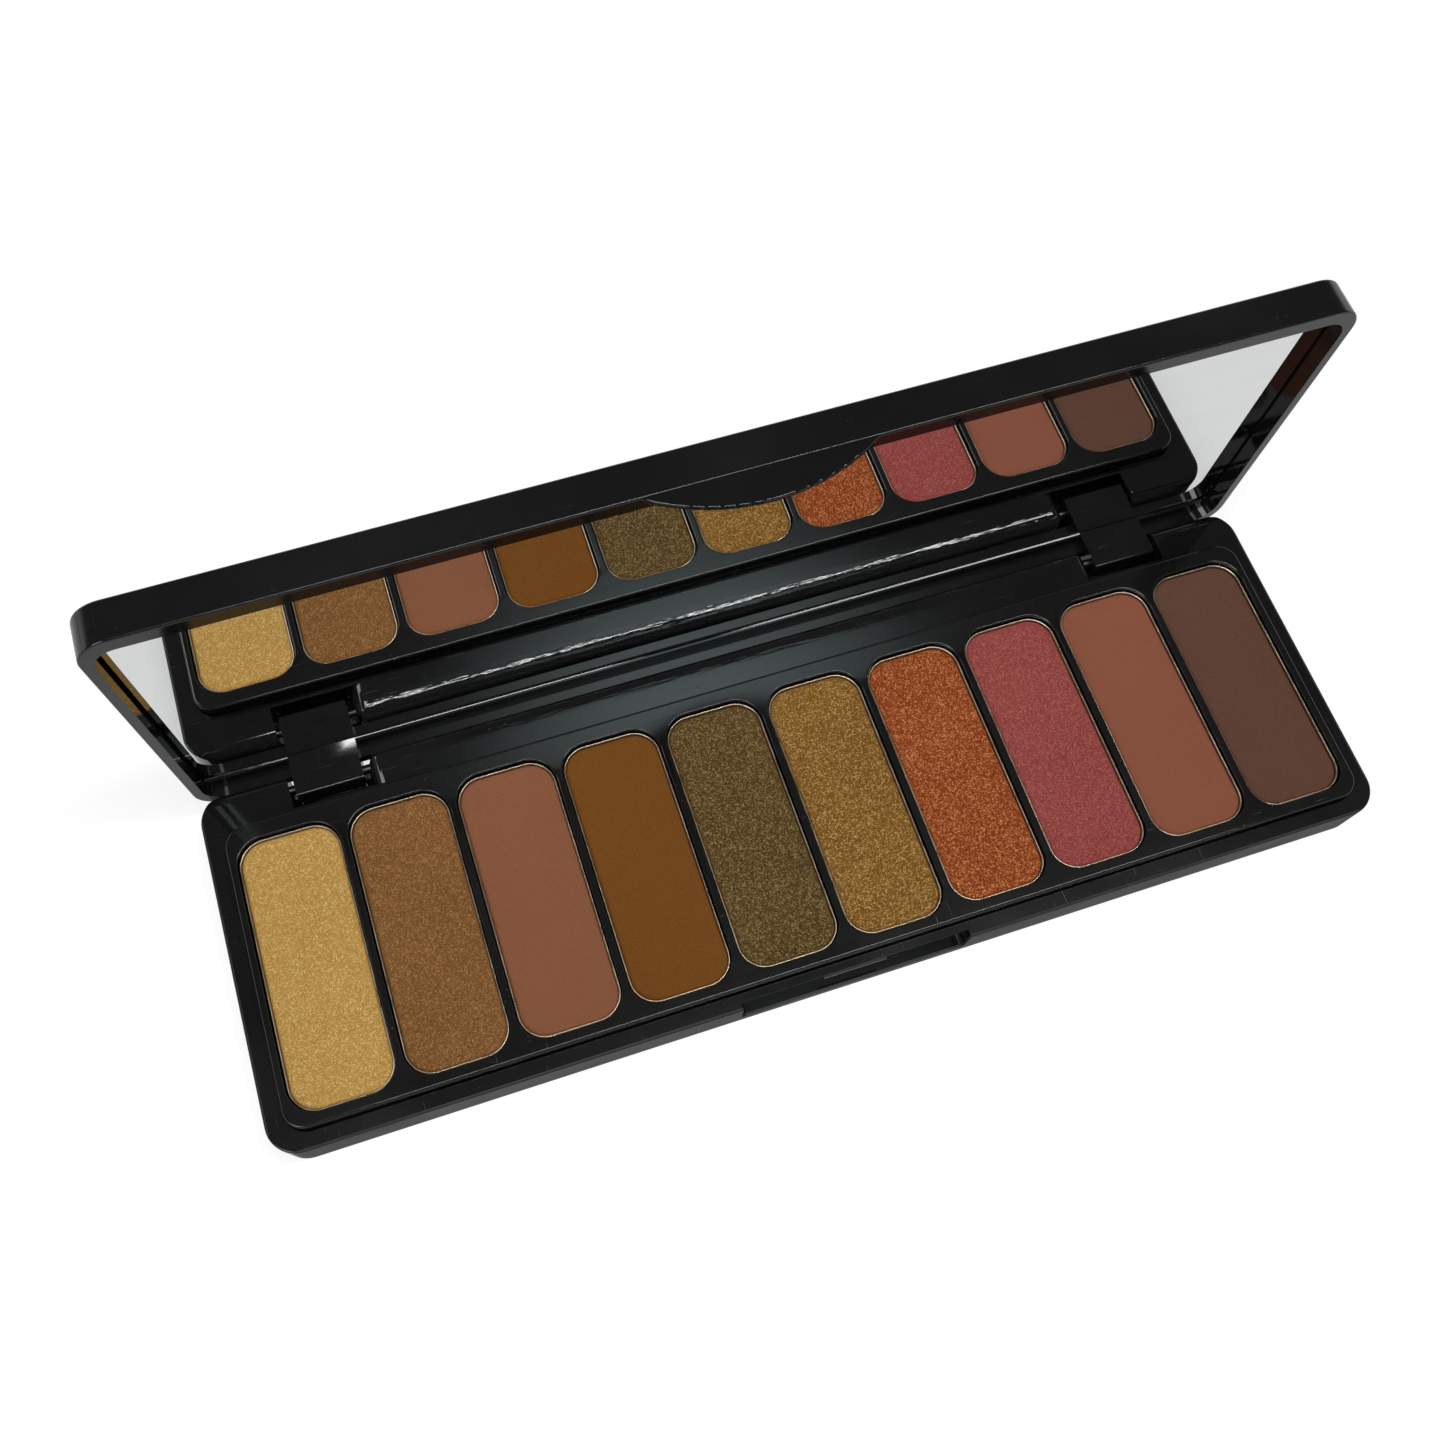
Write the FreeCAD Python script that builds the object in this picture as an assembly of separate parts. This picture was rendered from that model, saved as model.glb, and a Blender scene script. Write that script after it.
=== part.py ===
import FreeCAD, Part
import math
import os

from FreeCAD import Rotation, Vector

# Slim eyeshadow palette with ten pans in a row and a mirror in the lid.
# Millimetres. Origin: centre of the base's underside. +X to the right, +Y to the hinge, +Z up.
# The lid is drawn closed and then turned open about its hinge axis.

# Case
case_length = 168.2
case_depth = 53.8
base_height = 7.5
lid_height = 5.75
corner_radius = 4.6
parting_gap = 0.2
rim_break = 0.3
rim_inner_break = 0.15
base_foot_radius = 0.6
lid_back_radius = 0.5
base_floor = 1.2

# Rim of the base round the tray
rim_side = 3.1
rim_front = 2.6

# Rear deck of the base
deck_depth = 6.7
deck_plate = 1.2
rear_wall = 1.8
deck_step_width = 0.7
deck_step_drop = 0.5
deck_end_radius = 2.4
deck_rib = 1.2
deck_rib_pitch = 28.0
deck_rib_count = 3

# Pans in a row
pan_count = 10
pan_web = 1.0
pan_radius = 4.0
pan_height = 3.6
pan_sheet = 0.3
pan_foot_radius = 0.5
pan_side_gap = 0.15
pan_sunk = 0.7

# Powder cakes
powder_below_rim = 0.25
powder_side_gap = 0.02
powder_edge_radius = 0.35

# Tray that holds the pans
tray_proud = 2.1
tray_gap = 0.1
tray_corner_radius = 3.0
tray_edge_radius = 0.35
tray_floor = 0.9
tray_skirt = 1.0
tray_front_margin = 1.65
tray_rear_margin = 2.45
well_edge_radius = 0.2

# Pegs of the tray and bosses of the base
peg_radius = 1.0
peg_length = 2.2
peg_gap = 0.03
peg_column_pans = 4
peg_end_distance = 8.0
boss_wall = 1.2
boss_gap = 0.1

# Glue dots under the pans
glue_thickness = 0.1
glue_radius = 3.0
glue_end_distance = 6.0

# Hinge
hinge_inset = 2.0
pin_radius = 0.7
pin_running_gap = 0.05
pin_seat_gap = 0.01
pin_hold_inner = 2.2
pin_hold_outer = 3.0
lug_reach = 1.9
lug_edge_radius = 0.4
lug_width = 10.2
lug_end_distance = 19.3
lug_side_gap = 0.8
lug_under_gap = 0.9
pocket_lip = 0.4
lid_open_angle = 90.0

# Lid
lid_rim_side = 1.5
lid_rim_front = 2.35
lid_rear_wall = 2.0
lid_inner_radius = 3.4
mirror_depth = 2.6
ledge_length = 1.6
ledge_height = 0.5
ledge_ramp = 0.3

# Mirror and its tape
mirror_thickness = 1.0
mirror_side_gap = 0.2
mirror_bevel = 0.2
tape_thickness = 0.15
tape_width = 8.0
tape_end_margin = 6.0
tape_edge_margin = 4.4

# Thumb tab of the lid and its recess in the base
tab_chord = 31.0
tab_drop = 4.7
tab_thickness = 0.8
tab_set_back = 0.1
tab_rear_gap = 0.3
tab_root = 1.0
tab_edge_radius = 0.25
recess_side_gap = 1.8
recess_under_gap = 0.8
recess_radius = 1.0
bead_length = 9.5
bead_radius = 0.6
bead_proud = 0.2
bead_below_rim = 1.3

# Places worked out from the sizes above
half_length = case_length / 2
front_y = -case_depth / 2
rear_y = case_depth / 2
deck_front_y = rear_y - deck_depth
tray_half = half_length - rim_side
tray_front_y = front_y + rim_front
tray_rear_y = deck_front_y - tray_gap
tray_top = base_height + tray_proud
well_width = (2 * tray_half - (pan_count + 1) * pan_web) / pan_count
well_length = tray_rear_y - tray_front_y - tray_front_margin - tray_rear_margin
pan_pitch = well_width + pan_web
pan_width = well_width - 2 * pan_side_gap
pan_length = well_length - 2 * pan_side_gap
pans_y = tray_front_y + tray_front_margin + well_length / 2
pan_top = tray_top - pan_sunk
pan_bottom = pan_top - pan_height
well_floor_z = pan_bottom - glue_thickness
tray_under = well_floor_z - tray_floor
axis_y = rear_y - hinge_inset
axis_z = base_height - hinge_inset
lid_rim_z = base_height + parting_gap
lid_top = lid_rim_z + lid_height
mirror_face_z = lid_rim_z + mirror_depth
mirror_back_z = mirror_face_z + mirror_thickness
lid_panel_z = mirror_back_z + tape_thickness
lid_inner_half = half_length - lid_rim_side
lid_inner_front_y = front_y + lid_rim_front
lid_inner_rear_y = rear_y - lid_rear_wall
ledge_front_y = lid_inner_rear_y - ledge_length
tab_front_y = front_y + tab_set_back
recess_back_y = tab_front_y + tab_thickness + tab_rear_gap
lug_centre_x = half_length - lug_end_distance
pocket_half = lug_width / 2 + lug_side_gap
pocket_front_y = deck_front_y + deck_step_width + pocket_lip
step_rear_y = deck_front_y + deck_step_width
pocket_floor_z = axis_z - lug_reach - lug_under_gap
OVER = 1.0


def box(x0, x1, y0, y1, z0, z1):
    """Block between two opposite corners."""
    return Part.makeBox(x1 - x0, y1 - y0, z1 - z0, Vector(x0, y0, z0))


def rounded_block(half_x, y0, y1, z0, z1, radius, centre_x=0.0):
    """Upright block whose plan is a rectangle with round corners."""
    x0 = centre_x - half_x
    x1 = centre_x + half_x
    bow = radius * (1 - math.sqrt(0.5))
    edges = [
        Part.LineSegment(Vector(x0 + radius, y0, z0), Vector(x1 - radius, y0, z0)),
        Part.Arc(Vector(x1 - radius, y0, z0), Vector(x1 - bow, y0 + bow, z0), Vector(x1, y0 + radius, z0)),
        Part.LineSegment(Vector(x1, y0 + radius, z0), Vector(x1, y1 - radius, z0)),
        Part.Arc(Vector(x1, y1 - radius, z0), Vector(x1 - bow, y1 - bow, z0), Vector(x1 - radius, y1, z0)),
        Part.LineSegment(Vector(x1 - radius, y1, z0), Vector(x0 + radius, y1, z0)),
        Part.Arc(Vector(x0 + radius, y1, z0), Vector(x0 + bow, y1 - bow, z0), Vector(x0, y1 - radius, z0)),
        Part.LineSegment(Vector(x0, y1 - radius, z0), Vector(x0, y0 + radius, z0)),
        Part.Arc(Vector(x0, y0 + radius, z0), Vector(x0 + bow, y0 + bow, z0), Vector(x0 + radius, y0, z0)),
    ]
    wire = Part.Wire([edge.toShape() for edge in edges])
    return Part.Face(wire).extrude(Vector(0, 0, z1 - z0))


def level_edges(solid, z):
    """Edges that lie flat at one height."""
    flat = []
    for edge in solid.Edges:
        bounds = edge.BoundBox
        if abs(bounds.ZMin - z) < 1e-4 and abs(bounds.ZMax - z) < 1e-4:
            flat.append(edge)
    return flat


def x_rod(x0, x1, y, z, radius):
    """Round bar along X."""
    return Part.makeCylinder(radius, x1 - x0, Vector(x0, y, z), Vector(1, 0, 0))


def export(name, shape):
    """Write one sub-part."""
    shape.exportStep("parts/" + name + ".step")
    print(name, "solids", len(shape.Solids), "volume", round(shape.Volume, 1), "valid", shape.isValid())


def peg_places():
    """Plan positions of the tray's pegs, under the webs between pans."""
    places = []
    for column in (-1, 0, 1):
        for row in (-1, 1):
            places.append((column * peg_column_pans * pan_pitch, pans_y + row * (pan_length / 2 - peg_end_distance)))
    return places


def pan_centre(index):
    """X of the middle of one pan, counted from the left."""
    return (index - (pan_count - 1) / 2) * pan_pitch


def lug_pocket(side):
    """Opening in the rear deck where one lug of the lid turns, open upwards and to the rear."""
    centre = side * lug_centre_x
    return box(centre - pocket_half, centre + pocket_half, pocket_front_y, rear_y + OVER,
               pocket_floor_z, base_height + OVER)


def pin_span(side):
    """X of both ends of a hinge pin."""
    inner = side * (lug_centre_x - pocket_half - pin_hold_inner)
    outer = side * (lug_centre_x + pocket_half + pin_hold_outer)
    return min(inner, outer), max(inner, outer)


def cavity_mouth_edges(solid):
    """Top edges of the cavity that takes the tray."""
    found = []
    for edge in level_edges(solid, base_height):
        bounds = edge.BoundBox
        if bounds.YMin > front_y + rim_front / 2 and bounds.YMax < axis_y and bounds.XMax < half_length - rim_side / 2:
            if bounds.XMin > rim_side / 2 - half_length:
                found.append(edge)
    return found


def deck_end_edges(solid):
    """Top edges of the deck beside the pockets, on the pockets' inner sides."""
    found = []
    end_x = lug_centre_x - pocket_half
    for edge in level_edges(solid, base_height):
        bounds = edge.BoundBox
        if abs(abs(bounds.XMin) - end_x) < 1e-3 and abs(bounds.XMax - bounds.XMin) < 1e-3:
            found.append(edge)
    return found


def rear_edge_waste():
    """Corner outside the round of the rear top edge, a round about the hinge axis that the lid's rim rolls past."""
    corner = box(-half_length, half_length, axis_y, rear_y + OVER, axis_z, base_height + OVER)
    return corner.cut(x_rod(-half_length, half_length, axis_y, axis_z, hinge_inset))


def thumb_recess():
    """Notch in the front wall of the base that takes the thumb tab and leaves a lip below it."""
    half = tab_chord / 2 + recess_side_gap
    bottom = lid_rim_z - tab_drop - recess_under_gap
    notch = box(-half, half, front_y - OVER, recess_back_y, bottom, base_height + OVER)
    corners = []
    for edge in notch.Edges:
        bounds = edge.BoundBox
        if abs(bounds.ZMax - bottom) < 1e-4 and abs(bounds.XMin - bounds.XMax) < 1e-4:
            corners.append(edge)
    return notch.makeFillet(recess_radius, corners)


def catch_bead():
    """Low round bead on the back wall of the recess that the tab snaps over."""
    z = base_height - bead_below_rim
    y = recess_back_y - bead_proud + bead_radius
    return x_rod(-bead_length / 2, bead_length / 2, y, z, bead_radius)


def make_base_shell():
    """Lower case: floor, rim, rear deck with the lug pockets, thumb recess, bosses."""
    shell = rounded_block(half_length, front_y, rear_y, 0, base_height, corner_radius)
    shell = shell.makeFillet(base_foot_radius, level_edges(shell, 0))
    shell = shell.makeFillet(rim_break, level_edges(shell, base_height))
    shell = shell.cut(rounded_block(tray_half + tray_gap, tray_front_y - tray_gap, deck_front_y,
                                    base_floor, base_height + OVER, tray_corner_radius + tray_gap))
    shell = shell.makeFillet(rim_inner_break, cavity_mouth_edges(shell))
    hollow_half = lug_centre_x - pocket_half - pin_hold_inner - pin_hold_outer / 2
    under_deck = box(-hollow_half, hollow_half, deck_front_y - OVER, rear_y - rear_wall,
                     base_floor, base_height - deck_plate)
    for index in range(deck_rib_count):
        x = (index - (deck_rib_count - 1) / 2) * deck_rib_pitch
        under_deck = under_deck.cut(box(x - deck_rib / 2, x + deck_rib / 2, deck_front_y, rear_y, 0, base_height))
    shell = shell.cut(under_deck)
    for side in (-1, 1):
        shell = shell.cut(lug_pocket(side))
    shell = shell.makeFillet(deck_end_radius, deck_end_edges(shell))
    step_half = lug_centre_x + pocket_half
    shell = shell.cut(box(-step_half, step_half, deck_front_y - OVER, step_rear_y,
                          base_height - deck_step_drop, base_height + OVER))
    shell = shell.cut(rear_edge_waste())
    shell = shell.cut(thumb_recess())
    bead = catch_bead().common(box(-half_length, half_length, front_y, tray_front_y - 2 * tray_gap, 0, base_height))
    shell = shell.fuse(bead)
    for side in (-1, 1):
        x0, x1 = pin_span(side)
        shell = shell.cut(x_rod(x0, x1, axis_y, axis_z, pin_radius + pin_seat_gap))
    for x, y in peg_places():
        top = tray_under - boss_gap
        boss = Part.makeCylinder(peg_radius + peg_gap + boss_wall, top - base_floor, Vector(x, y, base_floor))
        bore = Part.makeCylinder(peg_radius + peg_gap, top - base_floor, Vector(x, y, base_floor))
        shell = shell.fuse(boss).cut(bore)
    return shell.removeSplitter()


def inside_tray_edge(edge):
    """True for the edge of a well, false for the outer edge of the tray."""
    bounds = edge.BoundBox
    clear = tray_edge_radius + 1e-3
    in_width = bounds.XMin > clear - tray_half and bounds.XMax < tray_half - clear
    return in_width and bounds.YMin > tray_front_y + clear and bounds.YMax < tray_rear_y - clear


def make_pan_tray():
    """Insert with one well for each pan, a skirt down to the floor and pegs."""
    tray = rounded_block(tray_half, tray_front_y, tray_rear_y, base_floor, tray_top, tray_corner_radius)
    tray = tray.makeFillet(tray_edge_radius, level_edges(tray, tray_top))
    tray = tray.cut(rounded_block(tray_half - tray_skirt, tray_front_y + tray_skirt, tray_rear_y - tray_skirt,
                                  base_floor - OVER, tray_under, tray_corner_radius - tray_skirt))
    well_half = well_length / 2
    for index in range(pan_count):
        tray = tray.cut(rounded_block(well_width / 2, pans_y - well_half, pans_y + well_half, well_floor_z,
                                      tray_top + OVER, pan_radius + pan_side_gap, pan_centre(index)))
    mouths = [edge for edge in level_edges(tray, tray_top) if inside_tray_edge(edge)]
    tray = tray.makeFillet(well_edge_radius, mouths)
    for x, y in peg_places():
        tray = tray.fuse(Part.makeCylinder(peg_radius, peg_length, Vector(x, y, tray_under - peg_length)))
    return tray.removeSplitter()


def make_pan(index):
    """Shallow tin pressed from sheet."""
    x = pan_centre(index)
    half_width = pan_width / 2
    pan = rounded_block(half_width, pans_y - pan_length / 2, pans_y + pan_length / 2, pan_bottom, pan_top, pan_radius, x)
    pan = pan.makeFillet(pan_foot_radius, level_edges(pan, pan_bottom))
    inside = rounded_block(half_width - pan_sheet, pans_y - pan_length / 2 + pan_sheet,
                           pans_y + pan_length / 2 - pan_sheet, pan_bottom + pan_sheet, pan_top + OVER,
                           pan_radius - pan_sheet, x)
    return pan.cut(inside)


def make_powder(index):
    """Pressed cake that fills a pan to just below its rim."""
    margin = pan_sheet + powder_side_gap
    top = pan_top - powder_below_rim
    cake = rounded_block(pan_width / 2 - margin, pans_y - pan_length / 2 + margin, pans_y + pan_length / 2 - margin,
                         pan_bottom + pan_sheet, top, pan_radius - margin, pan_centre(index))
    return cake.makeFillet(powder_edge_radius, level_edges(cake, top))


def make_pan_glue():
    """Two flat dots of glue under each pan."""
    dots = []
    for index in range(pan_count):
        for row in (-1, 1):
            y = pans_y + row * (pan_length / 2 - glue_end_distance - glue_radius)
            place = Vector(pan_centre(index), y, well_floor_z)
            dots.append(Part.makeCylinder(glue_radius, glue_thickness, place))
    return Part.makeCompound(dots)


def make_hinge_pin(side):
    """Short steel pin through one lug."""
    x0, x1 = pin_span(side)
    return x_rod(x0, x1, axis_y, axis_z, pin_radius)


def hinge_lug(side):
    """Square knuckle that hangs from the lid's ledge, its free end broken all round."""
    x0 = side * lug_centre_x - lug_width / 2
    lug = box(x0, x0 + lug_width, axis_y - lug_reach, axis_y + lug_reach, axis_z - lug_reach, mirror_back_z)
    return lug.makeFillet(lug_edge_radius, level_edges(lug, axis_z - lug_reach))


def thumb_tab():
    """Half-moon that hangs from the front wall of the lid."""
    half = tab_chord / 2
    left = Vector(-half, tab_front_y, lid_rim_z)
    right = Vector(half, tab_front_y, lid_rim_z)
    lowest = Vector(0, tab_front_y, lid_rim_z - tab_drop)
    outline = [Part.Arc(left, lowest, right).toShape(), Part.LineSegment(right, left).toShape()]
    moon = Part.Face(Part.Wire(outline)).extrude(Vector(0, tab_thickness, 0))
    rims = [edge for edge in moon.Edges if edge.BoundBox.ZMin < lid_rim_z - tab_drop / 2]
    moon = moon.makeFillet(tab_edge_radius, rims)
    root = box(-half, half, tab_front_y, tab_front_y + tab_thickness, lid_rim_z, lid_rim_z + tab_root)
    return moon.fuse(root)


def rear_ledge():
    """Raised strip behind the mirror whose front edge is a ramp, in profile along X."""
    level = mirror_face_z - ledge_height
    profile = [
        Vector(-lid_inner_half, ledge_front_y - ledge_ramp, lid_panel_z),
        Vector(-lid_inner_half, ledge_front_y - ledge_ramp, mirror_face_z),
        Vector(-lid_inner_half, ledge_front_y, level),
        Vector(-lid_inner_half, lid_inner_rear_y, level),
        Vector(-lid_inner_half, lid_inner_rear_y, lid_panel_z),
    ]
    face = Part.Face(Part.makePolygon(profile + profile[:1]))
    strip = face.extrude(Vector(2 * lid_inner_half, 0, 0))
    return strip.common(lid_cavity())


def lid_cavity():
    """Space inside the lid, from its rim to its panel."""
    return rounded_block(lid_inner_half, lid_inner_front_y, lid_inner_rear_y,
                         lid_rim_z - OVER, lid_panel_z, lid_inner_radius)


def make_lid_shell():
    """Upper case with rim, ledge, lugs and thumb tab, drawn closed."""
    shell = rounded_block(half_length, front_y, rear_y, lid_rim_z, lid_top, corner_radius)
    shell = shell.makeFillet(lid_back_radius, level_edges(shell, lid_top))
    shell = shell.makeFillet(rim_break, level_edges(shell, lid_rim_z))
    shell = shell.cut(lid_cavity())
    shell = shell.fuse(rear_ledge())
    for side in (-1, 1):
        shell = shell.fuse(hinge_lug(side))
    for side in (-1, 1):
        x0 = side * lug_centre_x - pocket_half
        x1 = side * lug_centre_x + pocket_half
        shell = shell.cut(x_rod(x0, x1, axis_y, axis_z, pin_radius + pin_running_gap))
    shell = shell.fuse(thumb_tab())
    return shell.removeSplitter()


def make_mirror():
    """Glass plate with a small bevel on its face, drawn closed."""
    half = lid_inner_half - mirror_side_gap
    rear = ledge_front_y - ledge_ramp - mirror_side_gap / 2
    plate = rounded_block(half, lid_inner_front_y + mirror_side_gap, rear, mirror_face_z, mirror_back_z,
                          lid_inner_radius - mirror_side_gap)
    return plate.makeChamfer(mirror_bevel, level_edges(plate, mirror_face_z))


def make_mirror_tape():
    """Two strips of tape along the back of the mirror, drawn closed."""
    half = lid_inner_half - tape_end_margin
    front = lid_inner_front_y + tape_edge_margin
    rear = ledge_front_y - ledge_ramp - tape_edge_margin
    strips = []
    for y in (front, rear - tape_width):
        strips.append(box(-half, half, y, y + tape_width, mirror_back_z, lid_panel_z))
    return Part.makeCompound(strips)


def opened(shape):
    """Turn a piece of the lid from closed to open about the hinge axis."""
    turned = shape.copy()
    turned.rotate(Vector(0, axis_y, axis_z), Vector(-1, 0, 0), lid_open_angle)
    return turned


os.makedirs("parts", exist_ok=True)
export("base_shell", make_base_shell())
export("pan_tray", make_pan_tray())
export("pan_glue", make_pan_glue())
for number in range(pan_count):
    export("pan_%02d" % (number + 1), make_pan(number))
    export("powder_%02d" % (number + 1), make_powder(number))
export("hinge_pin_left", make_hinge_pin(-1))
export("hinge_pin_right", make_hinge_pin(1))
export("lid_shell", opened(make_lid_shell()))
export("mirror", opened(make_mirror()))
export("mirror_tape", opened(make_mirror_tape()))
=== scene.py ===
import math

import bmesh
import bpy
import numpy as np
from mathutils import Matrix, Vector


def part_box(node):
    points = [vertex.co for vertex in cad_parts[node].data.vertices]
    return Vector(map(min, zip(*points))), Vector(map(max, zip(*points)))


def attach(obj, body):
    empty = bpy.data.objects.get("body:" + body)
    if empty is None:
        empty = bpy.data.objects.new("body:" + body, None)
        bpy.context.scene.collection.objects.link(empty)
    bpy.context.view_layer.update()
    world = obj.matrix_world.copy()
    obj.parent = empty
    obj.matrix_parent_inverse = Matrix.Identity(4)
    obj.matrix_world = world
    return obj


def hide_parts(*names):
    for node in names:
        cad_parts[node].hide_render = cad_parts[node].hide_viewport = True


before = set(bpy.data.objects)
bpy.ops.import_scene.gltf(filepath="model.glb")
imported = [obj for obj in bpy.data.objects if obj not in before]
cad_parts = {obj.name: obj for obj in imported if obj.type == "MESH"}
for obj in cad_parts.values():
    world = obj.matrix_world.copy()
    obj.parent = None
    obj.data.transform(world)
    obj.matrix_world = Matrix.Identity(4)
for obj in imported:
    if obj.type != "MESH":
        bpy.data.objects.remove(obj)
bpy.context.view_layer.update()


# Base case. The lower half of the palette, moulded in black ABS. Its outer
# walls are frosted and its rims satin. The hinge deck at the back and the thumb
# recess are mirror-bright.

def srgb(red, green, blue):
    """Colour written as 0 to 255, turned to the linear values that shaders use, by the sRGB curve."""
    value = np.array([red, green, blue]) / 255.0
    linear = np.where(value <= 0.04045, value / 12.92, ((value + 0.055) / 1.055) ** 2.4)
    return (float(linear[0]), float(linear[1]), float(linear[2]), 1.0)


def new_group(name, inputs, outputs):
    """Empty shader group with named sockets and its two end nodes."""
    group = bpy.data.node_groups.new(name, "ShaderNodeTree")
    for label, kind, default in inputs:
        socket = group.interface.new_socket(name=label, in_out="INPUT", socket_type=kind)
        socket.default_value = default
    for label, kind in outputs:
        group.interface.new_socket(name=label, in_out="OUTPUT", socket_type=kind)
    return group, group.nodes.new("NodeGroupInput"), group.nodes.new("NodeGroupOutput")


def add_noise(tree, coords, scale, detail, roughness=0.5):
    """Noise texture read at the object's own coordinates."""
    node = tree.nodes.new("ShaderNodeTexNoise")
    node.inputs["Scale"].default_value = scale
    node.inputs["Detail"].default_value = detail
    node.inputs["Roughness"].default_value = roughness
    tree.links.new(coords, node.inputs["Vector"])
    return node.outputs["Fac"]


def add_range(tree, value, low, high, out_low, out_high):
    """Straight line from one span of values to another, cut off at both ends."""
    node = tree.nodes.new("ShaderNodeMapRange")
    tree.links.new(value, node.inputs["Value"])
    for label, amount in (("From Min", low), ("From Max", high), ("To Min", out_low), ("To Max", out_high)):
        if isinstance(amount, (int, float)):
            node.inputs[label].default_value = amount
        else:
            tree.links.new(amount, node.inputs[label])
    return node.outputs["Result"]


def add_math(tree, kind, first, second):
    """One sum on two values, each a number or a socket."""
    node = tree.nodes.new("ShaderNodeMath")
    node.operation = kind
    for socket, amount in zip(node.inputs, (first, second)):
        if isinstance(amount, (int, float)):
            socket.default_value = amount
        else:
            tree.links.new(amount, socket)
    return node.outputs[0]


def add_mix(tree, factor, first, second):
    """Blend of two colours."""
    node = tree.nodes.new("ShaderNodeMix")
    node.data_type = "RGBA"
    for socket, amount in ((node.inputs[0], factor), (node.inputs[6], first), (node.inputs[7], second)):
        if isinstance(amount, (int, float, tuple)):
            socket.default_value = amount
        else:
            tree.links.new(amount, socket)
    return node.outputs[2]


def add_stretch(tree, coords, x, y, z, turn=0.0):
    """Coordinates drawn out or squeezed along the axes after a turn about Z, for streaks."""
    node = tree.nodes.new("ShaderNodeMapping")
    node.inputs["Scale"].default_value = (x, y, z)
    node.inputs["Rotation"].default_value = (0.0, 0.0, turn)
    tree.links.new(coords, node.inputs["Vector"])
    return node.outputs["Vector"]


def make_moulded_skin():
    """Skin of moulded plastic: cloudy handling film, hairline scratches, powder dust and a fine stipple."""
    group, entry, leave = new_group(
        "moulded_skin",
        [("Colour", "NodeSocketColor", (0.01, 0.01, 0.01, 1.0)), ("Gloss Low", "NodeSocketFloat", 0.1),
         ("Gloss High", "NodeSocketFloat", 0.3), ("Dust", "NodeSocketFloat", 0.3),
         ("Dust Colour", "NodeSocketColor", (0.3, 0.2, 0.13, 1.0))],
        [("Colour", "NodeSocketColor"), ("Roughness", "NodeSocketFloat"), ("Height", "NodeSocketFloat")])
    film_scale, patch_scale, speck_scale, stipple_scale = 55.0, 130.0, 950.0, 5200.0
    film_tint = 0.2
    film_colour = (0.016, 0.016, 0.017, 1.0)
    scratch_roughness = 0.22
    scratch_depth = 0.6
    dust_roughness = 0.5
    coords = group.nodes.new("ShaderNodeTexCoord").outputs["Object"]
    film = add_range(group, add_noise(group, coords, film_scale, 4.0), 0.38, 0.68, 0.0, 1.0)
    scratch_one = add_noise(group, add_stretch(group, coords, 160.0, 5200.0, 1800.0, 0.35), 1.0, 1.0)
    scratch_two = add_noise(group, add_stretch(group, coords, 4800.0, 140.0, 1800.0, -0.5), 1.0, 1.0)
    scratches = add_math(group, "MAXIMUM", add_range(group, scratch_one, 0.74, 0.80, 0.0, 1.0),
                         add_range(group, scratch_two, 0.75, 0.81, 0.0, 1.0))
    specks = group.nodes.new("ShaderNodeTexVoronoi")
    specks.inputs["Scale"].default_value = speck_scale
    group.links.new(coords, specks.inputs["Vector"])
    dots = add_range(group, specks.outputs["Distance"], 0.06, 0.16, 1.0, 0.0)
    patchy = add_range(group, add_noise(group, coords, patch_scale, 3.0), 0.55, 0.72, 0.0, 1.0)
    dust = add_math(group, "MULTIPLY", add_math(group, "MULTIPLY", dots, patchy), entry.outputs["Dust"])
    stipple = add_noise(group, coords, stipple_scale, 2.0)
    tinted = add_math(group, "MULTIPLY", film, film_tint)
    cloudy = add_mix(group, tinted, entry.outputs["Colour"], film_colour)
    group.links.new(add_mix(group, dust, cloudy, entry.outputs["Dust Colour"]), leave.inputs["Colour"])
    gloss = add_range(group, film, 0.0, 1.0, entry.outputs["Gloss Low"], entry.outputs["Gloss High"])
    worn = add_math(group, "ADD", gloss, add_math(group, "MULTIPLY", scratches, scratch_roughness))
    dusty = add_math(group, "ADD", worn, add_math(group, "MULTIPLY", dust, dust_roughness))
    group.links.new(dusty, leave.inputs["Roughness"])
    raised = add_math(group, "SUBTRACT", stipple, add_math(group, "MULTIPLY", scratches, scratch_depth))
    group.links.new(add_math(group, "ADD", raised, dust), leave.inputs["Height"])
    return group


moulded_skin = make_moulded_skin()


def start_material(name):
    """Material with its Principled shader, ready for links."""
    material = bpy.data.materials.new(name)
    material.use_nodes = True
    return material, material.node_tree, material.node_tree.nodes["Principled BSDF"]


def add_bump(tree, shader, height, strength, distance, under=None):
    """Fine relief from a height, laid over the relief under it."""
    bump = tree.nodes.new("ShaderNodeBump")
    bump.inputs["Strength"].default_value = strength
    bump.inputs["Distance"].default_value = distance
    tree.links.new(height, bump.inputs["Height"])
    if under is not None:
        tree.links.new(under, bump.inputs["Normal"])
    tree.links.new(bump.outputs["Normal"], shader.inputs["Normal"])
    return bump.outputs["Normal"]


def add_inside(tree, coords, low, high):
    """One inside a box between two corners and zero outside it."""
    split = tree.nodes.new("ShaderNodeSeparateXYZ")
    tree.links.new(coords, split.inputs["Vector"])
    inside = 1.0
    for axis in range(3):
        above = add_math(tree, "GREATER_THAN", split.outputs[axis], low[axis])
        below = add_math(tree, "LESS_THAN", split.outputs[axis], high[axis])
        inside = add_math(tree, "MULTIPLY", add_math(tree, "MULTIPLY", above, below), inside)
    return inside


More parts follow.
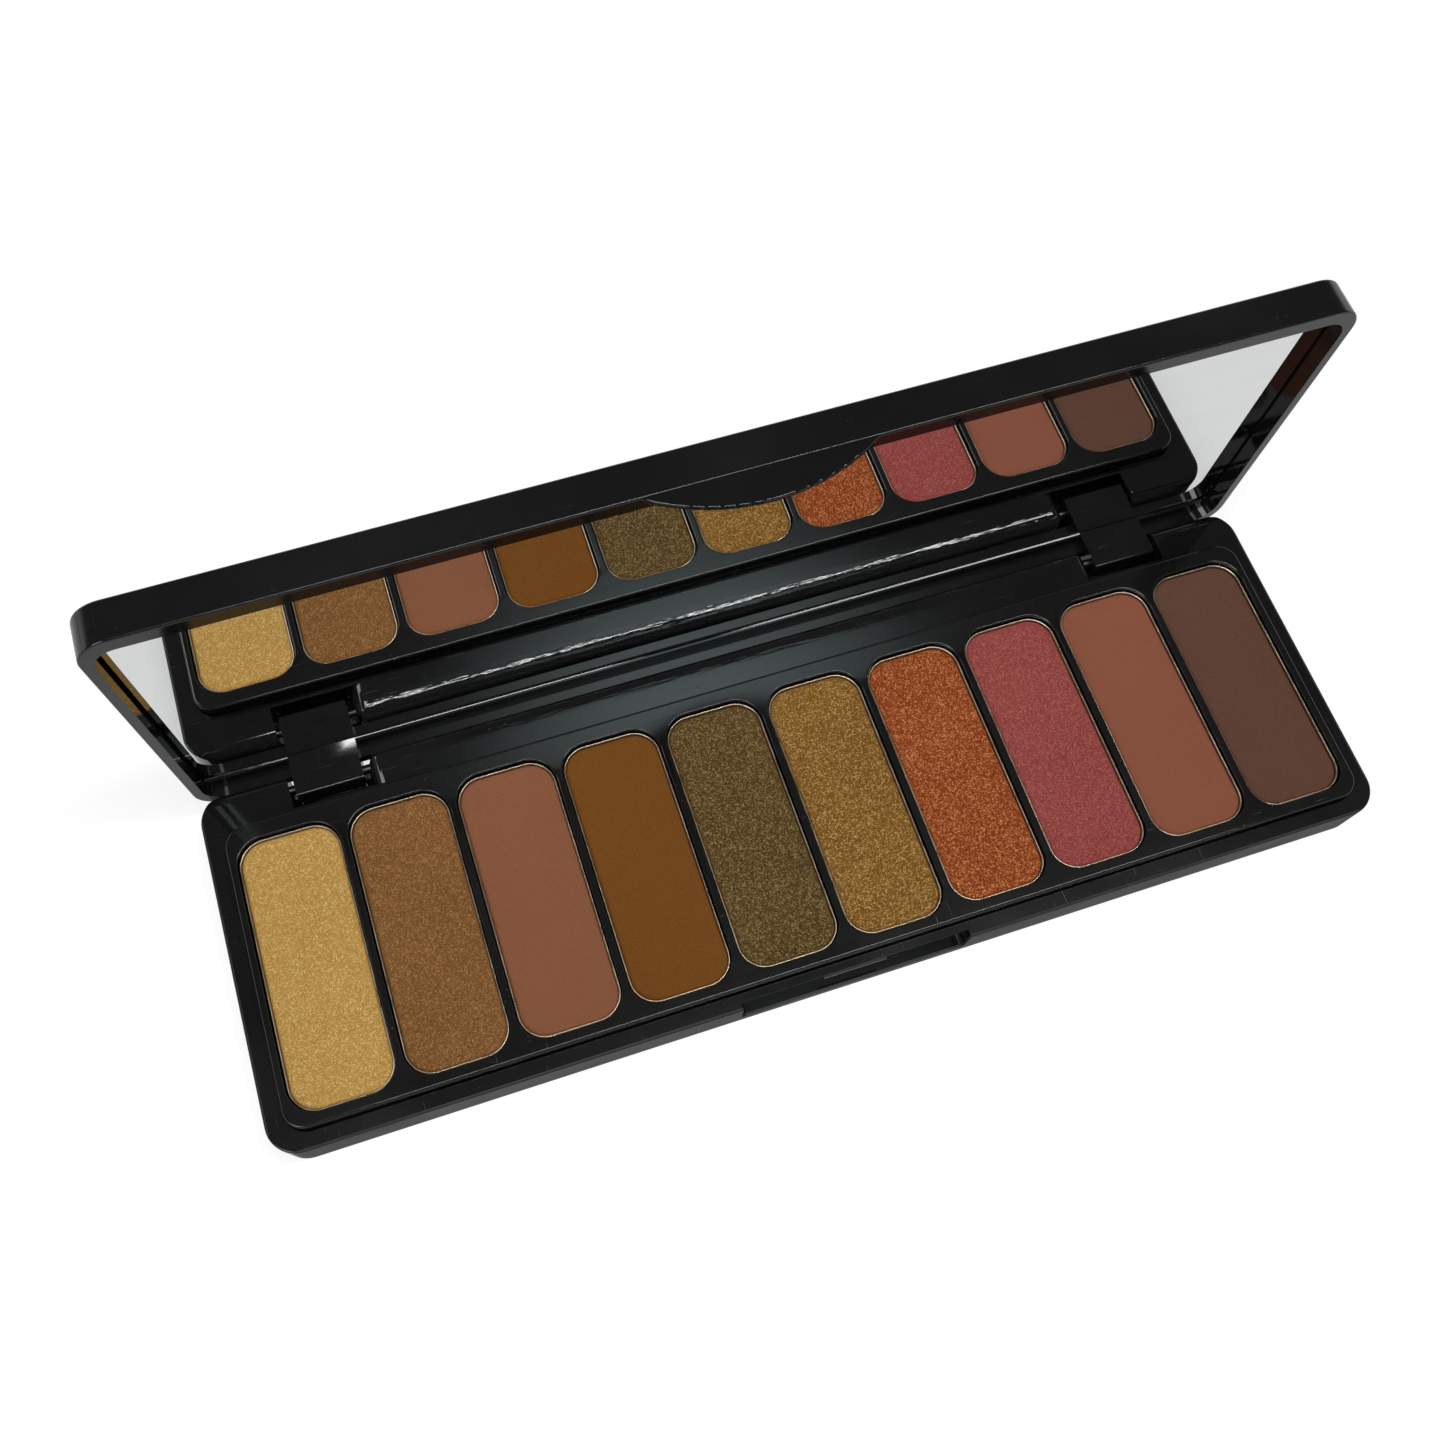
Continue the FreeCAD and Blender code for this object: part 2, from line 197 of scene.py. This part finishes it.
deck_front = 0.0202
deck_fall_start = 0.0236
deck_fall_radius = 0.0120
deck_edge_start = 0.0249
deck_edge_radius = 0.0035
deck_wave_height = 5.5e-5
deck_wave_box = ((-0.0588, deck_front, 0.0066), (0.0588, 0.0266, 0.0080))


def add_deck_flow(tree, shader, coords):
    """Sink and flow marks of the deck. It falls away towards the rear as a parabola, and another
    parabola opens its rounded rear edge out. Fine waves run along both, so that a lamp shows there as a
    band of broken lines."""
    split = tree.nodes.new("ShaderNodeSeparateXYZ")
    tree.links.new(coords, split.inputs["Vector"])
    back = add_math(tree, "MAXIMUM", add_math(tree, "SUBTRACT", split.outputs["Y"], deck_fall_start), 0.0)
    edge = add_math(tree, "MAXIMUM", add_math(tree, "SUBTRACT", split.outputs["Y"], deck_edge_start), 0.0)
    fall = add_math(tree, "DIVIDE", add_math(tree, "MULTIPLY", back, back), -2.0 * deck_fall_radius)
    open_out = add_math(tree, "DIVIDE", add_math(tree, "MULTIPLY", edge, edge), 2.0 * deck_edge_radius)
    fall = add_math(tree, "ADD", fall, open_out)
    waves = add_noise(tree, add_stretch(tree, coords, 240.0, 2300.0, 900.0), 1.0, 2.0)
    fade_in = add_range(tree, back, 0.0002, 0.0012, 0.0, 1.0)
    wavy = add_math(tree, "MULTIPLY", fade_in, add_math(tree, "MULTIPLY", waves, deck_wave_height))
    deck_only = add_inside(tree, coords, deck_wave_box[0], deck_wave_box[1])
    total = add_math(tree, "MULTIPLY", add_math(tree, "ADD", fall, wavy), deck_only)
    return add_bump(tree, shader, total, 1.0, 1.0)


skin_relief = 0.00002
abs_ior = 1.48


def black_plastic(name, colour, satin, polish, polished_boxes, frost, frost_free_box, dust, relief,
                  has_deck=False):
    """Black ABS with the moulded skin: satin roughness, polished roughness inside the polished boxes, and
    frosted roughness beyond the frost-free box. Each roughness is a pair, low and high."""
    material, tree, shader = start_material(name)
    skin = tree.nodes.new("ShaderNodeGroup")
    skin.node_tree = moulded_skin
    skin.inputs["Colour"].default_value = colour
    coords = tree.nodes.new("ShaderNodeTexCoord").outputs["Object"]
    shine = 0.0
    for low, high in polished_boxes:
        shine = add_math(tree, "MAXIMUM", add_inside(tree, coords, low, high), shine)
    sheltered = add_inside(tree, coords, frost_free_box[0], frost_free_box[1])
    for label, end in (("Gloss Low", 0), ("Gloss High", 1)):
        gloss = satin[end]
        if polished_boxes:
            gloss = add_range(tree, shine, 0.0, 1.0, satin[end], polish[end])
        tree.links.new(add_range(tree, sheltered, 0.0, 1.0, frost[end], gloss), skin.inputs[label])
    skin.inputs["Dust"].default_value = dust
    tree.links.new(skin.outputs["Colour"], shader.inputs["Base Color"])
    tree.links.new(skin.outputs["Roughness"], shader.inputs["Roughness"])
    under = add_deck_flow(tree, shader, coords) if has_deck else None
    add_bump(tree, shader, skin.outputs["Height"], relief, skin_relief, under)
    shader.inputs["IOR"].default_value = abs_ior
    return material


smooth_angle = math.radians(32.0)
merge_distance = 2e-6
flat_weight = 90


def smooth_copy(node, name, body, material):
    """Piece with the solid's own surface: corners merged, shaded smooth over the fillets, and flats kept
    flat by weighting the normals with the area."""
    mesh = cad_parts[node].data.copy()
    mesh.name = name
    work = bmesh.new()
    work.from_mesh(mesh)
    bmesh.ops.remove_doubles(work, verts=work.verts, dist=merge_distance)
    for face in work.faces:
        face.smooth = True
    for edge in work.edges:
        if len(edge.link_faces) == 2:
            edge.smooth = edge.calc_face_angle(0.0) < smooth_angle
    work.to_mesh(mesh)
    work.free()
    mesh.materials.clear()
    mesh.materials.append(material)
    piece = bpy.data.objects.new(name, mesh)
    bpy.context.collection.objects.link(piece)
    weighted = piece.modifiers.new("weighted", "WEIGHTED_NORMAL")
    weighted.keep_sharp = True
    weighted.weight = flat_weight
    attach(piece, body)
    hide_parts(node)


far = 1.0
everywhere = ((-far, -far, -far), (far, far, far))
wall_x = 0.0837
wall_y = 0.0265
deck_box = ((-far, deck_front, 0.001), (far, far, far))
recess_box = ((-0.0174, -far, 0.001), (0.0174, -0.0256, 0.0072))
case_black = black_plastic(
    "case_black", srgb(15, 15, 15), satin=(0.11, 0.15), polish=(0.05, 0.08),
    polished_boxes=[deck_box, recess_box], frost=(0.55, 0.65),
    frost_free_box=((-wall_x, -wall_y, -far), (wall_x, wall_y, far)), dust=0.20, relief=0.08, has_deck=True)
smooth_copy("base_shell", "base_case", "base", case_black)


# Pan tray. A satin black insert pressed into the base, standing proud of the
# rim, with ten radiused wells. Powder dust gathers on its webs.

tray_gloss = (0.10, 0.14)
tray_black = black_plastic(
    "tray_black", srgb(15, 15, 14), satin=tray_gloss, polish=tray_gloss, polished_boxes=[],
    frost=tray_gloss, frost_free_box=everywhere, dust=0.35, relief=0.12)
smooth_copy("pan_tray", "tray", "base", tray_black)


# Pans. Ten shallow tins pressed from thin aluminium sheet, each with a rolled
# bright lip. They are stuck down in the wells of the tray.

pan_count = 10
pan_pitch = 0.0161
pan_width = 0.0148
pan_length = 0.0400
pan_corner = 0.0040
pan_sheet = 0.0003
pan_foot = 0.0005
pan_inner_taper = 0.0002
pan_low, pan_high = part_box("pan_01")
pans_y = (pan_low[1] + pan_high[1]) / 2
pan_bottom = pan_low[2]
pan_top = pan_high[2]


def rounded_ring(half_width, half_length, radius, steps=14):
    """Points round a rectangle with round corners: each corner is a quarter circle about its own centre,
    counter-clockwise from the right-hand side, as an array of (x, y)."""
    corners = np.arange(4)
    angle = (corners[:, None] + np.linspace(0.0, 1.0, steps)[None, :]) * (np.pi / 2)
    centre_x = np.where((corners == 0) | (corners == 3), 1.0, -1.0)[:, None] * (half_width - radius)
    centre_y = np.where(corners < 2, 1.0, -1.0)[:, None] * (half_length - radius)
    x = centre_x + radius * np.cos(angle)
    y = centre_y + radius * np.sin(angle)
    return np.stack([x.ravel(), y.ravel()], axis=1)


smallest_radius = 1e-5


def ring_surface(name, half_width, half_length, corner, inset, height, centre_x, centre_y):
    """Closed surface carried round a rounded rectangle: ring k lies inset[k] inside the outline, its corner
    radius smaller by as much, at height[k]. Quads join neighbouring rings and the end rings are capped."""
    rings = []
    for step, level in zip(inset, height):
        ring = rounded_ring(half_width - step, half_length - step, max(corner - step, smallest_radius))
        level_column = np.full(len(ring), level)
        rings.append(np.column_stack([ring[:, 0] + centre_x, ring[:, 1] + centre_y, level_column]))
    points = np.concatenate(rings)
    count = len(rings[0])
    row = np.arange(len(rings) - 1)[:, None] * count
    column = np.arange(count)[None, :]
    after = (column + 1) % count
    quads = np.stack([row + column, row + after, row + count + after, row + count + column], axis=2)
    faces = quads.reshape(-1, 4).tolist()
    faces.append(list(range(count))[::-1])
    faces.append([(len(rings) - 1) * count + k for k in range(count)])
    mesh = bpy.data.meshes.new(name)
    mesh.from_pydata(points.tolist(), [], faces)
    mesh.polygons.foreach_set("use_smooth", np.ones(len(faces), dtype=bool))
    mesh.update()
    return mesh


def place_piece(name, mesh, material, body, node):
    """Object for a new mesh, riding on its body in place of its solid."""
    mesh.materials.append(material)
    piece = bpy.data.objects.new(name, mesh)
    bpy.context.collection.objects.link(piece)
    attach(piece, body)
    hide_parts(node)


def make_pan_metal():
    """Bright pressed aluminium with faint draw marks."""
    material, tree, shader = start_material("pan_metal")
    coords = tree.nodes.new("ShaderNodeTexCoord").outputs["Object"]
    draw = add_noise(tree, add_stretch(tree, coords, 400.0, 400.0, 6000.0), 1.0, 3.0)
    tree.links.new(add_range(tree, draw, 0.3, 0.7, 0.24, 0.40), shader.inputs["Roughness"])
    tree.links.new(add_mix(tree, draw, srgb(150, 134, 112), srgb(186, 170, 148)), shader.inputs["Base Color"])
    shader.inputs["Metallic"].default_value = 1.0
    add_bump(tree, shader, draw, 0.08, skin_relief)
    return material


pan_metal = make_pan_metal()
lip = pan_sheet / 2
turn = np.linspace(0.0, np.pi, 9)
foot = np.linspace(0.0, np.pi / 2, 7)
pan_inset = np.concatenate([
    pan_foot * (1 - np.sin(foot)), lip - lip * np.cos(turn), [pan_sheet, pan_sheet + pan_inner_taper]])
pan_height = np.concatenate([
    pan_bottom + pan_foot * (1 - np.cos(foot)), pan_top - lip + lip * np.sin(turn),
    [pan_bottom + pan_foot, pan_bottom + pan_sheet]])
for number in range(pan_count):
    centre_x = (number - (pan_count - 1) / 2) * pan_pitch
    label = "%02d" % (number + 1)
    mesh = ring_surface("tin_" + label, pan_width / 2, pan_length / 2, pan_corner, pan_inset, pan_height,
                        centre_x, pans_y)
    place_piece("tin_" + label, mesh, pan_metal, "base", "pan_" + label)


# Powders. Ten cakes of coloured mineral powder pressed into the tins. Shimmer
# shades hold mica flakes, matte shades are chalky with a soft pressed nap.

def make_powder_grain():
    """Pressed powder: blotches of two tints, flakes that glint and a granular relief."""
    group, entry, leave = new_group(
        "powder_grain",
        [("Body", "NodeSocketColor", (0.3, 0.2, 0.1, 1.0)),
         ("Shade", "NodeSocketColor", (0.2, 0.1, 0.05, 1.0)),
         ("Flake", "NodeSocketColor", (0.6, 0.5, 0.3, 1.0)), ("Shimmer", "NodeSocketFloat", 0.5),
         ("Nap", "NodeSocketFloat", 0.5)],
        [("Colour", "NodeSocketColor"), ("Flake Mask", "NodeSocketFloat"), ("Height", "NodeSocketFloat"),
         ("Roughness", "NodeSocketFloat")])
    clump_scale, broad_scale, flake_scale = 5000.0, 90.0, 6200.0
    clump_part, broad_part = 0.85, 0.15
    powder_roughness, flake_roughness = 0.85, 0.42
    coords = group.nodes.new("ShaderNodeTexCoord").outputs["Object"]
    clump = add_noise(group, coords, clump_scale, 2.0, 0.6)
    broad = add_noise(group, coords, broad_scale, 3.0)
    streak = add_noise(group, add_stretch(group, coords, 1800.0, 220.0, 900.0, 0.15), 1.0, 3.0)
    fine_part = add_math(group, "MULTIPLY", clump, clump_part)
    shading = add_math(group, "ADD", fine_part, add_math(group, "MULTIPLY", broad, broad_part))
    lightness = add_range(group, shading, 0.40, 0.60, 0.0, 1.0)
    tint = add_mix(group, lightness, entry.outputs["Shade"], entry.outputs["Body"])
    cells = group.nodes.new("ShaderNodeTexVoronoi")
    cells.inputs["Scale"].default_value = flake_scale
    group.links.new(coords, cells.inputs["Vector"])
    pick = group.nodes.new("ShaderNodeSeparateColor")
    group.links.new(cells.outputs["Color"], pick.inputs["Color"])
    chosen = add_range(group, pick.outputs["Red"], 0.62, 0.95, 0.0, 1.0)
    flakes = add_math(group, "MULTIPLY", chosen, entry.outputs["Shimmer"])
    group.links.new(add_mix(group, flakes, tint, entry.outputs["Flake"]), leave.inputs["Colour"])
    group.links.new(flakes, leave.inputs["Flake Mask"])
    nap = add_math(group, "MULTIPLY", streak, entry.outputs["Nap"])
    height = add_math(group, "ADD", clump, nap)
    tilt = add_math(group, "MULTIPLY", pick.outputs["Green"], entry.outputs["Shimmer"])
    group.links.new(add_math(group, "ADD", height, tilt), leave.inputs["Height"])
    roughness = add_range(group, flakes, 0.0, 1.0, powder_roughness, flake_roughness)
    group.links.new(roughness, leave.inputs["Roughness"])
    return group


powder_grain = make_powder_grain()


powder_nap = 0.5
powder_relief = 0.00006
powder_mirroring = 0.12
flake_metal = 0.75
shimmer_bump = 0.5
matte_bump = 0.25


def make_powder(name, body, shade, flake, shimmer):
    """Pressed powder of one colour, with its share of mica."""
    material, tree, shader = start_material(name)
    grain = tree.nodes.new("ShaderNodeGroup")
    grain.node_tree = powder_grain
    grain.inputs["Body"].default_value = body
    grain.inputs["Shade"].default_value = shade
    grain.inputs["Flake"].default_value = flake
    grain.inputs["Shimmer"].default_value = shimmer
    grain.inputs["Nap"].default_value = powder_nap
    tree.links.new(grain.outputs["Colour"], shader.inputs["Base Color"])
    tree.links.new(grain.outputs["Roughness"], shader.inputs["Roughness"])
    if shimmer > 0.0:
        metal = add_math(tree, "MULTIPLY", grain.outputs["Flake Mask"], flake_metal)
        tree.links.new(metal, shader.inputs["Metallic"])
    bump = shimmer_bump if shimmer > 0.0 else matte_bump
    add_bump(tree, shader, grain.outputs["Height"], bump, powder_relief)
    shader.inputs["Specular IOR Level"].default_value = powder_mirroring
    return material


powder_shades = [
    ("pale_gold", srgb(187, 147, 78), srgb(162, 122, 54), srgb(234, 205, 143), 0.55),
    ("bronze", srgb(128, 88, 48), srgb(103, 65, 30), srgb(194, 149, 97), 0.45),
    ("dusty_brown", srgb(135, 87, 61), srgb(127, 80, 56), srgb(135, 87, 61), 0.0),
    ("ochre", srgb(116, 72, 27), srgb(106, 64, 19), srgb(116, 72, 27), 0.0),
    ("olive", srgb(89, 69, 36), srgb(63, 45, 16), srgb(172, 146, 96), 0.55),
    ("gold_brown", srgb(131, 93, 39), srgb(97, 62, 13), srgb(212, 173, 108), 0.60),
    ("copper", srgb(144, 70, 32), srgb(111, 41, 3), srgb(222, 150, 98), 0.65),
    ("raspberry", srgb(147, 70, 65), srgb(125, 53, 52), srgb(207, 129, 117), 0.40),
    ("terracotta", srgb(137, 83, 63), srgb(130, 77, 58), srgb(137, 83, 63), 0.0),
    ("dark_brown", srgb(96, 66, 52), srgb(88, 59, 46), srgb(96, 66, 52), 0.0),
]
cake_margin = pan_sheet + 0.00002
cake_edge = 0.00035
cake_shoulder = 0.0006
cake_top = pan_top - 0.00025
cake_steps = [0.0010, 0.0018, 0.0028]
edge = np.linspace(0.0, np.pi / 2, 8)
cake_inset = np.concatenate([[0.0], cake_shoulder * (1 - np.cos(edge)), cake_steps])
cake_height = np.concatenate([
    [pan_bottom + pan_sheet], cake_top - cake_edge + cake_edge * np.sin(edge), [cake_top] * len(cake_steps)])
for number, (shade_name, body, shade, flake, shimmer) in enumerate(powder_shades):
    centre_x = (number - (pan_count - 1) / 2) * pan_pitch
    label = "%02d" % (number + 1)
    mesh = ring_surface("cake_" + label, pan_width / 2 - cake_margin, pan_length / 2 - cake_margin,
                        pan_corner - cake_margin, cake_inset, cake_height, centre_x, pans_y)
    material = make_powder("powder_" + shade_name, body, shade, flake, shimmer)
    place_piece("cake_" + label, mesh, material, "base", "powder_" + label)


# Glue under the pans. Two clear dots a pan, squeezed flat between the tin and
# the floor of its well.

def make_glue():
    """Cured clear glue, slightly yellow."""
    material, tree, shader = start_material("cured_glue")
    coords = tree.nodes.new("ShaderNodeTexCoord").outputs["Object"]
    cloud = add_noise(tree, coords, 600.0, 3.0)
    colour = add_mix(tree, cloud, srgb(226, 218, 190), srgb(206, 196, 164))
    tree.links.new(colour, shader.inputs["Base Color"])
    tree.links.new(add_range(tree, cloud, 0.3, 0.7, 0.25, 0.45), shader.inputs["Roughness"])
    return material


def paint_node(node, material):
    """Gives a solid its finish."""
    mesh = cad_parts[node].data
    mesh.materials.clear()
    mesh.materials.append(material)


paint_node("pan_glue", make_glue())


# Hinge pins. Two short lengths of drawn steel wire through the lid's lugs,
# held by a tight fit in the deck and in the corner blocks.

def make_pin_steel():
    """Blackened drawn steel wire with fine lines along it."""
    material, tree, shader = start_material("pin_wire")
    coords = tree.nodes.new("ShaderNodeTexCoord").outputs["Object"]
    lines = add_noise(tree, add_stretch(tree, coords, 150.0, 5200.0, 5200.0), 1.0, 2.0)
    tree.links.new(add_mix(tree, lines, srgb(52, 50, 48), srgb(78, 75, 71)), shader.inputs["Base Color"])
    tree.links.new(add_range(tree, lines, 0.3, 0.7, 0.28, 0.42), shader.inputs["Roughness"])
    shader.inputs["Metallic"].default_value = 1.0
    add_bump(tree, shader, lines, 0.15, skin_relief)
    return material


pin_steel = make_pin_steel()
paint_node("hinge_pin_left", pin_steel)
paint_node("hinge_pin_right", pin_steel)


# Lid. The upper half of the palette, moulded in the same black ABS. Its rim,
# inner walls, the ledge behind the mirror and the hinge lugs are polished. The
# half-moon thumb tab hangs from the front wall.

lid_low, lid_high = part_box("lid_shell")
lid_skin = 0.001
rim_plane = 0.0271
rim_box = ((-far, -far, -far), (far, rim_plane + 0.0002, far))
inside_box = ((lid_low[0] + lid_skin, 0.0, lid_low[2] + lid_skin),
              (lid_high[0] - lid_skin, lid_high[1] - lid_skin, lid_high[2] - lid_skin))
lid_black = black_plastic(
    "lid_black", srgb(14, 14, 14), satin=(0.18, 0.25), polish=(0.07, 0.12),
    polished_boxes=[rim_box, inside_box], frost=(0.30, 0.40),
    frost_free_box=((-wall_x, -far, -far), (wall_x, lid_high[1] - 0.0004, far)), dust=0.10, relief=0.03)
smooth_copy("lid_shell", "lid", "lid", lid_black)


# Mirror and its tape. Silvered glass with a small ground bevel, stuck into the
# lid with two strips of white double-sided tape.

def make_mirror_glass():
    """Silvered glass with a trace of dust and wiping marks."""
    material, tree, shader = start_material("silvered_glass")
    coords = tree.nodes.new("ShaderNodeTexCoord").outputs["Object"]
    wipe = add_noise(tree, add_stretch(tree, coords, 90.0, 300.0, 420.0, 0.4), 1.0, 4.0)
    tree.links.new(add_range(tree, wipe, 0.55, 0.8, 0.0, 0.05), shader.inputs["Roughness"])
    tree.links.new(add_mix(tree, wipe, srgb(246, 247, 247), srgb(240, 242, 242)), shader.inputs["Base Color"])
    shader.inputs["Metallic"].default_value = 1.0
    return material


def make_tape():
    """White tape, seen only at its edge."""
    material, tree, shader = start_material("tape_white")
    coords = tree.nodes.new("ShaderNodeTexCoord").outputs["Object"]
    fibre = add_noise(tree, coords, 2500.0, 3.0)
    colour = add_mix(tree, fibre, srgb(222, 220, 214), srgb(204, 202, 196))
    tree.links.new(colour, shader.inputs["Base Color"])
    shader.inputs["Roughness"].default_value = 0.8
    return material


paint_node("mirror", make_mirror_glass())
paint_node("mirror_tape", make_tape())


# Table, light and camera. A pale plain table, a long soft strip overhead, a
# soft box on the left and a cool glow high in front. The camera is above and in
# front of the palette, looking steeply down.

table_half = 3.0
table_lines = 41
table_colour = (0.30, 0.30, 0.30, 1.0)
table_glow = 0.76
mirrored_share = 0.58


def make_table():
    """Flat square grid under the palette. It glows at full strength for the camera and at a smaller share
    for rays that were mirrored or went through glass. Its diffuse part takes the shadow."""
    side = np.linspace(-1.0, 1.0, table_lines)
    x, y = np.meshgrid(side * table_half, side * table_half)
    points = np.stack([x.ravel(), y.ravel(), np.zeros(x.size)], axis=1)
    count = len(side)
    row, column = np.meshgrid(np.arange(count - 1), np.arange(count - 1), indexing="ij")
    start = (row * count + column).ravel()
    faces = np.stack([start, start + 1, start + count + 1, start + count], axis=1)
    mesh = bpy.data.meshes.new("table")
    mesh.from_pydata(points.tolist(), [], faces.tolist())
    mesh.update()
    table = bpy.data.objects.new("table", mesh)
    bpy.context.collection.objects.link(table)
    material, tree, shader = start_material("table_white")
    shader.inputs["Base Color"].default_value = table_colour
    shader.inputs["Roughness"].default_value = 0.9
    shader.inputs["Specular IOR Level"].default_value = 0.0
    path = tree.nodes.new("ShaderNodeLightPath")
    mirrored = add_math(tree, "MAXIMUM", path.outputs["Is Glossy Ray"], path.outputs["Is Transmission Ray"])
    dimmed = add_math(tree, "MULTIPLY", mirrored, mirrored_share)
    seen = add_math(tree, "MAXIMUM", path.outputs["Is Camera Ray"], dimmed)
    tree.links.new(add_math(tree, "MULTIPLY", seen, table_glow), shader.inputs["Emission Strength"])
    shader.inputs["Emission Color"].default_value = (1.0, 1.0, 1.0, 1.0)
    mesh.materials.append(material)


make_table()

horizon_low = 0.08
horizon_high = 0.32
horizon_white = (1.0, 1.0, 1.0, 1.0)
ceiling_dark = (0.10, 0.10, 0.10, 1.0)
lowest_height = 0.05
glow_middle = (0.175, -0.37)
glow_radius = (0.24, 0.30)
glow_core = 0.1
glow_colour = (1.8, 2.15, 2.2, 1.0)


def make_studio():
    """White horizon under a dark ceiling, with a cool glow high in front. The horizon fades with the height
    of the direction. The glow is an oval on a level sheet overhead: it fades with the distance from its
    middle, as x over z and y over z."""
    world = bpy.data.worlds.new("studio")
    bpy.context.scene.world = world
    world.use_nodes = True
    tree = world.node_tree
    background = tree.nodes["Background"]
    split = tree.nodes.new("ShaderNodeSeparateXYZ")
    tree.links.new(tree.nodes.new("ShaderNodeTexCoord").outputs["Generated"], split.inputs["Vector"])
    ceiling = add_range(tree, split.outputs["Z"], horizon_low, horizon_high, 0.0, 1.0)
    room = add_mix(tree, ceiling, horizon_white, ceiling_dark)
    height = add_math(tree, "MAXIMUM", split.outputs["Z"], lowest_height)
    reach = []
    for axis, middle, radius in zip("XY", glow_middle, glow_radius):
        away = add_math(tree, "SUBTRACT", add_math(tree, "DIVIDE", split.outputs[axis], height), middle)
        away = add_math(tree, "DIVIDE", away, radius)
        reach.append(add_math(tree, "MULTIPLY", away, away))
    distance = add_math(tree, "SQRT", add_math(tree, "ADD", reach[0], reach[1]), 0.0)
    glow = add_range(tree, distance, glow_core, 1.0, 1.0, 0.0)
    glow.node.interpolation_type = "SMOOTHSTEP"
    tree.links.new(add_mix(tree, glow, room, glow_colour), background.inputs["Color"])
    background.inputs["Strength"].default_value = 1.0


make_studio()


def add_soft_lamp(name, place, size, radiance, turn):
    """Rectangular soft box, facing down before its turn. It is set by the brightness of its face: power is
    brightness times area times pi."""
    data = bpy.data.lights.new(name, "AREA")
    data.shape = "RECTANGLE"
    data.size = size[0]
    data.size_y = size[1]
    data.energy = radiance * size[0] * size[1] * math.pi
    lamp = bpy.data.objects.new(name, data)
    lamp.location = place
    lamp.rotation_euler = turn
    lamp.visible_camera = False
    bpy.context.collection.objects.link(lamp)


add_soft_lamp("ceiling_strip", place=(0.13, -0.04, 0.85), size=(0.66, 0.08), radiance=28.0,
              turn=(0.05, 0.15, 0.0))
add_soft_lamp("left_box", place=(-0.55, -0.35, 0.62), size=(0.4, 0.4), radiance=5.0,
              turn=(0.51, -0.72, 0.0))

camera_data = bpy.data.cameras.new("camera")
camera_data.sensor_width = 36.0
camera_data.lens = 34.643
camera_data.shift_x = 0.0293
camera_data.shift_y = 0.01447
camera_data.clip_start = 0.01
camera = bpy.data.objects.new("camera", camera_data)
camera.matrix_world = Matrix((
    (0.950753, 0.277863, -0.137335, -0.042135),
    (-0.308910, 0.885733, -0.346486, -0.058481),
    (0.025367, 0.371847, 0.927948, 0.201887),
    (0.0, 0.0, 0.0, 1.0),
))
bpy.context.collection.objects.link(camera)
bpy.context.scene.camera = camera

bpy.context.scene.view_settings.view_transform = "Standard"
